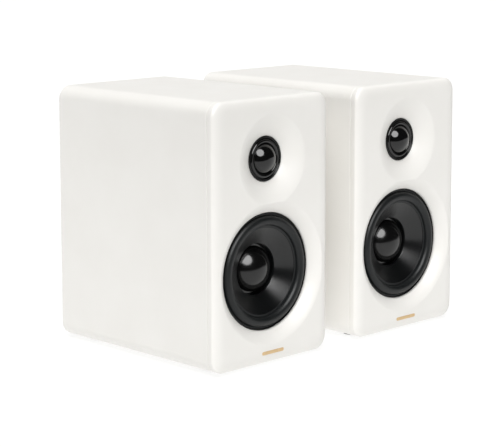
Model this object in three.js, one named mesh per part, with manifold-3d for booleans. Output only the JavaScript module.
// A pair of powered two-way desktop loudspeakers, in millimetres, +Z up.
// +X points to a listener's right and -Y points towards the listener.
// The left cabinet is passive. The right cabinet holds the amplifier.
import * as THREE from "three";
import { mergeVertices } from "three/addons/utils/BufferGeometryUtils.js";
import Module from "manifold-3d";

const wasm = await Module();
wasm.setup();

// ---- Driving dimensions -------------------------------------------------------------------
const cabinet = { width: 100, height: 168, depth: 147, wall: 9, cornerRadius: 9 };
const pairSpacing = 127.6; // between the two cabinets' centre planes
const footHeight = 2;
const gap = 0.3; // between pieces that touch

const woofer = { height: 58.5, mouthRadius: 44.2, throatRadius: 37.2, throatDepth: 6.5 };
const tweeter = { height: 129.2, mouthRadius: 28.5, throatRadius: 14.4, throatDepth: 7.1 };
const baffle = { flange: 6.3, thickness: 12, edgeRadius: 3, rebateDepth: 9 };
const wooferFlangeRadius = 39.4;
const tweeterFlangeRadius = 17.6;

const rear = { face: 139.5, thickness: 5, split: 84 };
const port = { height: 122, innerRadius: 13, outerRadius: 15, flangeRadius: 20.5, innerEnd: 88 };
const linkHeight = 34; // the speaker link socket on either cabinet
const ampPlateThickness = 2.2;
const ampCentre = 48; // height of the middle of the amplifier's plate and board
const controls = {
  inlet: [19, 30],
  rocker: [-4, 30],
  link: [-25, linkHeight],
  knob: [20, 64],
  button: [1, 64],
  aux: [-13, 66],
  usb: [-27, 66],
};
const rockerTilt = 8; // degrees, resting in its off position

const fine = 24; // sides of the round parts that show
const coarse = 16; // sides of the hidden and small round parts
const corners = 4; // steps in each rounded corner

// Depths below are measured back from the front face of the baffle.
const frontY = -cabinet.depth / 2;
const bodyHeight = cabinet.height - footHeight;
const bodyCentre = footHeight + bodyHeight / 2;
const fittingFace = rear.face + gap; // where sockets, switches and flanges sit on the back

// ---- Materials ----------------------------------------------------------------------------
const finish = (color, roughness, metalness = 0) =>
  new THREE.MeshStandardMaterial({ color, roughness, metalness });
const material = {
  whitePaint: finish(0xefeeea, 0.45),
  blackPlastic: finish(0x141516, 0.35),
  rubber: finish(0x2c2e30, 0.6),
  blackAluminium: finish(0x1c1e20, 0.3, 0.4),
  blackDome: finish(0x0b0c0d, 0.15),
  steel: finish(0x9a9da0, 0.35, 1),
  ferrite: finish(0x3a3a3c, 0.8),
  copper: finish(0xb4693a, 0.35, 1),
  spiderCloth: finish(0xb08a4a, 0.9),
  board: finish(0x1f5a3c, 0.6),
  aluminium: finish(0xb8babd, 0.4, 1),
};

// ---- Solid helpers ------------------------------------------------------------------------
// A manifold-3d solid from a closed geometry, leaving out the flat triangles at a lathe's poles.
function solid(geometry) {
  const bare = geometry.clone();
  bare.deleteAttribute("normal");
  bare.deleteAttribute("uv");
  const merged = mergeVertices(bare, 1e-4);
  const index = merged.index.array;
  const triangles = [];
  for (let i = 0; i < index.length; i += 3) {
    const [a, b, c] = [index[i], index[i + 1], index[i + 2]];
    if (a !== b && b !== c && c !== a) triangles.push(a, b, c);
  }
  return new wasm.Manifold(
    new wasm.Mesh({
      numProp: 3,
      vertProperties: merged.attributes.position.array,
      triVerts: new Uint32Array(triangles),
    }),
  );
}

function geometryOf(manifold) {
  const made = manifold.getMesh();
  const geometry = new THREE.BufferGeometry();
  geometry.setAttribute("position", new THREE.BufferAttribute(made.vertProperties, 3));
  geometry.setIndex(new THREE.BufferAttribute(made.triVerts, 1));
  geometry.computeVertexNormals();
  return geometry;
}

const cut = (base, ...tools) => tools.reduce((left, tool) => left.subtract(solid(tool)), base);
const join = (base, ...more) => more.reduce((sum, piece) => sum.add(solid(piece)), base);

// A closed profile of [radius, depth] points turned about the depth axis.
function turned(profile, sides = coarse) {
  const points = profile.map(([radius, depth]) => new THREE.Vector2(radius, depth));
  const onAxis = profile[0][0] === 0 && profile[profile.length - 1][0] === 0;
  if (!onAxis) points.push(points[0].clone());
  return new THREE.LatheGeometry(points, sides);
}

const disc = (radius, from, to, sides = coarse) =>
  turned([[0, from], [radius, from], [radius, to], [0, to]], sides);
const ring = (inner, outer, from, to, sides = coarse) =>
  turned([[inner, from], [outer, from], [outer, to], [inner, to]], sides);

function block(width, from, to, height) {
  const made = new THREE.BoxGeometry(width, to - from, height);
  return made.translate(0, (from + to) / 2, 0);
}

function roundedRectangle(width, height, radius, Path = THREE.Shape) {
  const x = width / 2 - radius;
  const z = height / 2 - radius;
  const outline = new Path();
  outline.absarc(x, z, radius, 0, Math.PI / 2);
  outline.absarc(-x, z, radius, Math.PI / 2, Math.PI);
  outline.absarc(-x, -z, radius, Math.PI, 1.5 * Math.PI);
  outline.absarc(x, -z, radius, 1.5 * Math.PI, 2 * Math.PI);
  outline.closePath();
  return outline;
}

// A shape drawn in the X-Z plane and extruded in depth.
function slab(shape, from, to, options = {}) {
  const made = new THREE.ExtrudeGeometry(shape, {
    depth: to - from,
    bevelEnabled: false,
    curveSegments: corners,
    ...options,
  });
  return made.rotateX(Math.PI / 2).translate(0, to, 0);
}

// Points of an arc of a circle from one point to another, bulging by the given height.
function arcPoints([r0, d0], [r1, d1], bulge, steps) {
  const chord = Math.hypot(r1 - r0, d1 - d0);
  const radius = (chord * chord) / (8 * bulge) + bulge / 2;
  const half = Math.asin(Math.min(1, chord / 2 / Math.abs(radius))) * Math.sign(bulge);
  const [ux, uy] = [(r1 - r0) / chord, (d1 - d0) / chord];
  return Array.from({ length: steps + 1 }, (_, i) => {
    const angle = half * (2 * (i / steps) - 1);
    const along = chord / 2 + radius * Math.sin(angle);
    const out = radius * (Math.cos(angle) - Math.cos(half));
    return [r0 + ux * along + uy * out, d0 + uy * along - ux * out];
  });
}

// A sheet of even thickness: the front line, then the same line set back, in reverse.
const sheet = (front, thickness) => [
  ...front,
  ...front.map(([radius, depth]) => [radius, depth + thickness]).reverse(),
];

function piece(name, shape, look) {
  const geometry = shape.isBufferGeometry ? shape : geometryOf(shape);
  const made = new THREE.Mesh(geometry, look);
  made.name = name;
  return made;
}

function raised(mesh, x, z) {
  mesh.position.set(x, 0, z);
  return mesh;
}

// ---- Cabinet ------------------------------------------------------------------------------
const innerWidth = cabinet.width - 2 * cabinet.wall;
const innerHeight = bodyHeight - 2 * cabinet.wall;

function cabinetShell(side) {
  const outline = roundedRectangle(cabinet.width, bodyHeight, cabinet.cornerRadius);
  outline.holes.push(roundedRectangle(innerWidth, innerHeight, 3, THREE.Path));
  const shell = slab(outline, baffle.flange + gap, cabinet.depth);
  return raised(piece(`${side}_cabinet`, shell, material.whitePaint), 0, bodyCentre);
}

// The hollow around one driver: a flare, a short throat, and a rebate for the flange behind.
function driverHollow(driver, flangeRadius, bulge, sides) {
  const mouth = [driver.mouthRadius, 0];
  const throat = [driver.throatRadius, driver.throatDepth];
  const hollow = turned(
    [
      [0, -1],
      [driver.mouthRadius, -1],
      ...arcPoints(mouth, throat, bulge, 4),
      [driver.throatRadius, baffle.rebateDepth],
      [flangeRadius + 0.4, baffle.rebateDepth],
      [flangeRadius + 0.4, baffle.thickness + 1],
      [0, baffle.thickness + 1],
    ],
    sides,
  );
  return hollow.translate(0, 0, driver.height - bodyCentre);
}

function frontBaffle(side) {
  const rounded = slab(
    roundedRectangle(cabinet.width, bodyHeight, cabinet.cornerRadius),
    baffle.edgeRadius,
    30,
    {
      bevelEnabled: true,
      bevelThickness: baffle.edgeRadius,
      bevelSize: baffle.edgeRadius,
      bevelOffset: -baffle.edgeRadius,
      bevelSegments: 2,
    },
  );
  const flange = cut(solid(rounded), block(2 * cabinet.width, baffle.flange, 60, 2 * bodyHeight));
  const plug = slab(
    roundedRectangle(innerWidth - 2 * gap, innerHeight - 2 * gap, 3),
    baffle.flange - 1,
    baffle.thickness,
  );
  const made = cut(
    join(flange, plug),
    driverHollow(woofer, wooferFlangeRadius, -0.9, fine),
    driverHollow(tweeter, tweeterFlangeRadius, -1.2, fine),
  );
  return raised(piece(`${side}_front_baffle`, made, material.whitePaint), 0, bodyCentre);
}

// A plate that closes the back of the cabinet, and a slab that covers it up to the split height.
function rearPlate(thickness) {
  const outline = roundedRectangle(innerWidth - 2 * gap, innerHeight - 2 * gap, 3);
  return solid(slab(outline, rear.face - thickness, rear.face));
}

function besideSplit(upper) {
  const slabHeight = 100;
  const offset = rear.split - bodyCentre + (upper ? 1 : -1) * (slabHeight / 2 - gap / 2);
  return block(cabinet.width, rear.face - 20, rear.face + 20, slabHeight).translate(0, 0, offset);
}

// The left panel fills the back. The right one stops above the amplifier's plate.
function rearPanel(side) {
  const from = rear.face - rear.thickness - 1;
  const to = rear.face + 1;
  const portHole = disc(port.outerRadius + gap, from, to);
  portHole.translate(0, 0, port.height - bodyCentre);
  const socketHole = disc(7.3, from, to).translate(0, 0, linkHeight - bodyCentre);
  const lower = side === "right" ? besideSplit(false) : socketHole;
  const made = cut(rearPlate(rear.thickness), portHole, lower);
  return raised(piece(`${side}_rear_panel`, made, material.whitePaint), 0, bodyCentre);
}

function portTube(side) {
  const { innerRadius, outerRadius, flangeRadius, innerEnd } = port;
  const seat = fittingFace;
  const tube = turned([
    [innerRadius, innerEnd],
    [outerRadius, innerEnd],
    [outerRadius, seat],
    [flangeRadius, seat],
    [flangeRadius, seat + 1.2],
    [flangeRadius - 1, seat + 2.2],
    [innerRadius + 3, seat + 2.2],
    [innerRadius, seat - 3],
  ]);
  return raised(piece(`${side}_port_tube`, tube, material.blackPlastic), 0, port.height);
}

function feet(side) {
  const places = [
    ["front_left", -32, 20],
    ["front_right", 32, 20],
    ["rear_left", -32, 127],
    ["rear_right", 32, 127],
  ];
  return places.map(([place, x, depth]) => {
    const pad = new THREE.CylinderGeometry(6.5, 6, footHeight - 0.1, coarse);
    pad.rotateX(Math.PI / 2).translate(x, depth, (footHeight - 0.1) / 2);
    return piece(`${side}_foot_${place}`, pad, material.rubber);
  });
}

// ---- Woofer -------------------------------------------------------------------------------
function wooferBasket() {
  const frame = turned(
    [
      [36.3, 7],
      [36.9, 7],
      [36.9, 9.3],
      [wooferFlangeRadius, 9.3],
      [wooferFlangeRadius, 11.3],
      [37, 11.3],
      [31, 24],
      [31, 30.6],
      [16, 30.6],
      [16, 28.4],
      [26.5, 28.4],
      [26.5, 23.1],
      [29.4, 23.1],
      [34.6, 11.5],
      [34.6, 8.9],
      [36.3, 8.9],
    ],
    fine,
  );
  const windows = [0, 1, 2, 3, 4, 5].map((i) =>
    block(17, 13, 20.5, 26)
      .translate(0, 0, 38)
      .rotateY((i * Math.PI) / 3),
  );
  return cut(solid(frame), ...windows);
}

// The rubber half roll that joins the cone to the basket.
const wooferSurround = () =>
  turned(sheet([[28, 7.3], ...arcPoints([29.6, 7.3], [34.9, 8], 2.6, 4), [36, 8]], 0.6), fine);

// The cone, with the neck and the ledge that join it to the voice coil.
const wooferCone = () =>
  turned(
    [
      [13.1, 19.9],
      [16.1, 19.9],
      [16.4, 15.4],
      [27.6, 8.6],
      [29.2, 8.2],
      [29.2, 9],
      [27.9, 9.4],
      [17.2, 16.1],
      [16.9, 20.7],
      [13.1, 20.7],
    ],
    fine,
  );

// A round dome standing in the cone's neck on a narrow brim.
const wooferDustCap = () =>
  turned(
    [
      ...arcPoints([0, 9.3], [14.4, 17.65], 2.24, 4),
      [14.4, 19.1],
      [15.7, 19.1],
      [15.7, 19.6],
      [13.8, 19.6],
      ...arcPoints([13.8, 17.6], [0, 9.8], -2.09, 4),
    ],
    fine,
  );

const wooferVoiceCoil = () =>
  turned([[12.2, 18.4], [12.7, 18.4], [12.7, 29.5], [13.3, 29.5], [13.3, 36.5], [12.2, 36.5]]);

function wooferSpider() {
  const depth = 22.5;
  const waves = Array.from({ length: 5 }, (_, i) => [15 + 2.4 * i, depth - (i % 2 ? 1.2 : 0)]);
  return turned(sheet([[13, depth], ...waves, [29.1, depth]], 0.4));
}

const wooferTopPlate = () => ring(13.9, 29.5, 30.9, 34.9);
const wooferMagnet = () => ring(17, 32, 35.2, 46.2);
const wooferYoke = () =>
  turned([[0, 30.5], [11.8, 30.5], [11.8, 46.5], [29.5, 46.5], [29.5, 50.5], [0, 50.5]]);

function wooferParts(side) {
  const parts = [
    ["basket", wooferBasket(), material.blackPlastic],
    ["surround", wooferSurround(), material.rubber],
    ["cone", wooferCone(), material.blackAluminium],
    ["dust_cap", wooferDustCap(), material.blackDome],
    ["voice_coil", wooferVoiceCoil(), material.copper],
    ["spider", wooferSpider(), material.spiderCloth],
    ["top_plate", wooferTopPlate(), material.steel],
    ["magnet", wooferMagnet(), material.ferrite],
    ["yoke", wooferYoke(), material.steel],
  ];
  return parts.map(([name, shape, look]) =>
    raised(piece(`${side}_woofer_${name}`, shape, look), 0, woofer.height),
  );
}

// ---- Tweeter ------------------------------------------------------------------------------
const tweeterFaceplate = () =>
  turned([
    [12.8, 7.4],
    [13.2, 7],
    [13.8, 7],
    [14.1, 7.3],
    [14.1, 9.3],
    [tweeterFlangeRadius, 9.3],
    [tweeterFlangeRadius, 11.3],
    [10.4, 11.3],
    [10.4, 9],
    [12.8, 9],
  ]);

const tweeterDome = () =>
  turned(
    [...arcPoints([0, 2.1], [9.5, 7.6], 1.48, 3), ...arcPoints([9.1, 8], [0, 2.5], -1.44, 3)],
    20,
  );

// The small roll between the dome and the faceplate.
const tweeterSurround = () =>
  turned(sheet([...arcPoints([9.9, 8], [12.1, 8], 1, 2), [12.5, 8]], 0.3), 20);

const tweeterVoiceCoil = () => ring(9.35, 9.85, 8.8, 13.4);
const tweeterMagnet = () => disc(8.9, 11.6, 21.2);
const tweeterYoke = () =>
  turned([[0, 24], [15, 24], [15, 11.6], [10.3, 11.6], [10.3, 21.5], [0, 21.5]].reverse());

function tweeterParts(side) {
  const parts = [
    ["faceplate", tweeterFaceplate(), material.blackPlastic],
    ["dome", tweeterDome(), material.blackDome],
    ["surround", tweeterSurround(), material.rubber],
    ["voice_coil", tweeterVoiceCoil(), material.copper],
    ["magnet", tweeterMagnet(), material.steel],
    ["yoke", tweeterYoke(), material.steel],
  ];
  return parts.map(([name, shape, look]) =>
    raised(piece(`${side}_tweeter_${name}`, shape, look), 0, tweeter.height),
  );
}

// ---- Fittings on the back -----------------------------------------------------------------
// A round four-pin socket for the lead between the two speakers.
function linkSocket(face) {
  const barrel = turned([
    [0, face - 13],
    [6.9, face - 13],
    [6.9, face],
    [8.6, face],
    [8.6, face + 1.4],
    [5, face + 1.4],
    [5, face - 9],
    [0, face - 9],
  ]);
  const pins = [0, 1, 2, 3].map((i) =>
    disc(0.6, face - 9.5, face - 5, 6)
      .translate(2.9, 0, 0)
      .rotateY((i * Math.PI) / 2),
  );
  return join(solid(barrel), ...pins);
}

function crossoverBoard() {
  const board = block(52, 120, 121.6, 44);
  const coil = ring(4, 11, 108, 120.5, 16).translate(-12, 0, 6);
  const capacitor = disc(7, 104, 120.5, 16).translate(13, 0, 6);
  return join(solid(board), coil, capacitor);
}

function amplifierPlate() {
  const from = rear.face - ampPlateThickness - 1;
  const to = rear.face + 1;
  const hole = (shape, [x, z]) => shape.translate(x, 0, z - bodyCentre);
  return cut(
    rearPlate(ampPlateThickness),
    besideSplit(true),
    hole(block(21.6, from, to, 12.6), controls.inlet),
    hole(block(12.6, from, to, 18.6), controls.rocker),
    hole(disc(7.3, from, to), controls.link),
    hole(disc(3.5, from, to, 12), controls.knob),
    hole(disc(3.5, from, to, 12), controls.button),
    hole(disc(3.5, from, to, 12), controls.aux),
    hole(block(10.2, from, to, 4.6), controls.usb),
  );
}

// The mains inlet for a two-pin lead: a flanged body with a blind hollow and two pins.
function mainsInlet() {
  const flange = slab(roundedRectangle(26, 17, 2), fittingFace, fittingFace + 1.5);
  const body = block(21, fittingFace - 16, fittingFace + 0.5, 12);
  const hollow = slab(roundedRectangle(17, 8.4, 3.9), fittingFace - 12, fittingFace + 2);
  const pins = [-4.3, 4.3].map((x) =>
    disc(1.2, fittingFace - 13, fittingFace - 3, 8).translate(x, 0, 0),
  );
  return join(cut(join(solid(flange), body), hollow), ...pins);
}

function powerSwitchHousing() {
  const flange = slab(roundedRectangle(15.4, 21.4, 1.5), fittingFace, fittingFace + 1.5);
  const body = block(12, fittingFace - 14, fittingFace + 0.5, 18);
  const hollow = block(9.4, fittingFace - 8, fittingFace + 2, 15.4);
  return cut(join(solid(flange), body), hollow);
}

// The rocker stands across its pivot, its two flats meeting in a shallow dip.
function powerRocker() {
  const side = new THREE.Shape();
  side.moveTo(-7.1, 3.4);
  side.lineTo(-6.2, -3);
  side.lineTo(6.2, -3);
  side.lineTo(7.1, 3.4);
  side.lineTo(0, 2.2);
  side.closePath();
  const made = new THREE.ExtrudeGeometry(side, { depth: 8.6, bevelEnabled: false });
  // Drawn along height and depth, then turned so that its width runs along X.
  const axes = new THREE.Matrix4().makeBasis(
    new THREE.Vector3(0, 0, 1),
    new THREE.Vector3(0, 1, 0),
    new THREE.Vector3(-1, 0, 0),
  );
  return made.translate(0, 0, -4.3).applyMatrix4(axes);
}

// A turned knob on its shaft, with a pointer groove across its end.
function volumeKnob() {
  const end = cabinet.depth - gap;
  const knob = turned(
    [
      [0, rear.face - 4],
      [3, rear.face - 4],
      [3, rear.face + 0.8],
      [8, rear.face + 0.8],
      [8, end - 0.8],
      [7.2, end],
      [0, end],
    ],
    24,
  );
  const groove = block(1, end - 0.6, end + 1, 6).translate(0, 0, 5.5);
  return cut(solid(knob), groove);
}

function inputButton() {
  const [start, end] = [rear.face - 3.6, rear.face + 2.4];
  return turned([[0, start], [3, start], [3, end - 0.5], [2.5, end], [0, end]]);
}

function auxSocket() {
  const nut = disc(4.3, fittingFace, fittingFace + 1.2, 12);
  const barrel = disc(3, fittingFace - 8, fittingFace + 0.5, 12);
  const body = block(10, fittingFace - 15, fittingFace - 3.2, 10);
  return cut(join(solid(nut), barrel, body), disc(1.8, fittingFace - 12, fittingFace + 2, 12));
}

function usbSocket() {
  const shell = slab(roundedRectangle(9.4, 3.8, 1.5), fittingFace - 10, fittingFace + 0.4);
  const hollow = slab(roundedRectangle(8.5, 2.9, 1.2), fittingFace - 6, fittingFace + 1);
  const tongue = block(6.2, fittingFace - 7, fittingFace - 1, 0.8);
  return join(cut(solid(shell), hollow), tongue);
}

// The board with the volume potentiometer, the button's switch and the main capacitors.
function amplifierBoard() {
  const front = rear.face - 18.5;
  const board = block(66, front, front + 1.6, 60);
  const at = (shape, [x, z]) => shape.translate(x, 0, z - ampCentre);
  return join(
    solid(board),
    at(block(13, front + 1, rear.face - 4.3, 13), controls.knob),
    at(block(6, front + 1, rear.face - 5.1, 6), controls.button),
    disc(6, front - 15, front + 0.5).translate(24, 0, -14),
    disc(6, front - 15, front + 0.5).translate(24, 0, 1),
  );
}

// Fins standing forward from a flat back.
function heatSink() {
  const [width, fins, base, tall] = [54, 7, 3, 18];
  const pitch = width / fins;
  const comb = new THREE.Shape();
  comb.moveTo(-width / 2, 0);
  comb.lineTo(width / 2, 0);
  for (let i = 0; i < fins; i += 1) {
    const x = width / 2 - i * pitch;
    comb.lineTo(x, tall);
    comb.lineTo(x - 2, tall);
    if (i < fins - 1) {
      comb.lineTo(x - 2, base);
      comb.lineTo(x - pitch, base);
    }
  }
  comb.lineTo(width / 2 - (fins - 1) * pitch - 2, base);
  comb.lineTo(-width / 2, base);
  comb.closePath();
  const made = new THREE.ExtrudeGeometry(comb, { depth: 14, bevelEnabled: false });
  return made.rotateZ(Math.PI).translate(0, rear.face - 18.8, 65);
}

// A laminated core with its winding bobbin, standing on the cabinet's floor.
function transformer() {
  const core = block(44, 70, 90, 36);
  const winding = new THREE.CylinderGeometry(14.5, 14.5, 26, coarse);
  winding.rotateX(Math.PI / 2).translate(0, 80, 0);
  return join(solid(core), winding).translate(0, 0, 29.5);
}

function amplifierParts() {
  const at = (name, shape, look, [x, z]) => raised(piece(`right_${name}`, shape, look), x, z);
  const rocker = at("power_rocker", powerRocker(), material.blackPlastic, controls.rocker);
  rocker.position.y = rear.face;
  rocker.rotation.x = THREE.MathUtils.degToRad(rockerTilt);
  return [
    at("amplifier_plate", amplifierPlate(), material.blackAluminium, [0, bodyCentre]),
    at("amplifier_board", amplifierBoard(), material.board, [0, ampCentre]),
    piece("right_heat_sink", heatSink(), material.aluminium),
    piece("right_transformer", transformer(), material.steel),
    at("mains_inlet", mainsInlet(), material.blackPlastic, controls.inlet),
    at("power_switch_housing", powerSwitchHousing(), material.blackPlastic, controls.rocker),
    rocker,
    at("volume_knob", volumeKnob(), material.blackPlastic, controls.knob),
    at("input_button", inputButton(), material.blackPlastic, controls.button),
    at("aux_socket", auxSocket(), material.blackPlastic, controls.aux),
    at("usb_socket", usbSocket(), material.steel, controls.usb),
    at("link_socket", linkSocket(fittingFace), material.blackPlastic, controls.link),
  ];
}

function passiveParts() {
  const socket = piece("left_link_socket", linkSocket(fittingFace), material.blackPlastic);
  const board = piece("left_crossover_board", crossoverBoard(), material.board);
  return [raised(socket, 0, linkHeight), raised(board, 0, 62)];
}

// ---- The pair -----------------------------------------------------------------------------
function speaker(side, ownParts) {
  const group = new THREE.Group();
  group.add(
    cabinetShell(side),
    frontBaffle(side),
    rearPanel(side),
    portTube(side),
    ...feet(side),
    ...wooferParts(side),
    ...tweeterParts(side),
    ...ownParts,
  );
  group.position.set(((side === "left" ? -1 : 1) * pairSpacing) / 2, frontY, 0);
  return group;
}

const pair = new THREE.Group();
pair.add(speaker("left", passiveParts()), speaker("right", amplifierParts()));

export default pair;
